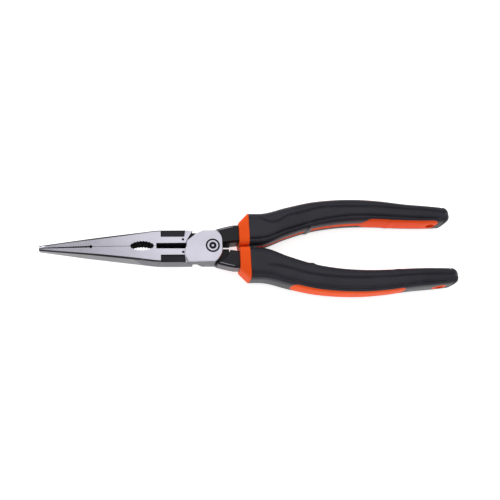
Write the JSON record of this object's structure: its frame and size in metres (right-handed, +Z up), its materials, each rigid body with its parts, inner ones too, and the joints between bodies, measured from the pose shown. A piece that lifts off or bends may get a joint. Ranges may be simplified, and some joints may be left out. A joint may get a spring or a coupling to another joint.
{
  "type": "needle nose pliers",
  "caption": "Long nose pliers with a lap joint, a toothed pipe grip, a wire cutter and two-material curved handles with tether holes.",
  "frame": {"origin": "centre of the footprint, at the height of the surface that the closed pliers lie on", "axes": "+X from the jaw tips towards the handle ends, +Y across the handles, +Z up, along the pivot axis"},
  "size_m": [0.2196, 0.053, 0.016],
  "materials": {
    "forged_steel": "polished nickel-chrome jaws, black oxide tangs and pockets",
    "rivet_steel": "black oxide with a bright turned ring",
    "orange_plastic": "satin moulded",
    "black_rubber": "soft satin moulded"
  },
  "bodies": {
    "front_lever": {"front_half": "forged_steel", "pivot_rivet": "rivet_steel", "upper_grip_core": "orange_plastic", "upper_grip_skin": "black_rubber"},
    "rear_lever": {"rear_half": "forged_steel", "lower_grip_core": "orange_plastic", "lower_grip_skin": "black_rubber"}
  },
  "joints": [
    {"name": "jaw_hinge", "type": "hinge", "parent": "front_lever", "child": "rear_lever", "pos_m": [-0.02365, 0, 0.008], "axis": [0, 0, -1], "range_deg": [0, 32]}
  ]
}
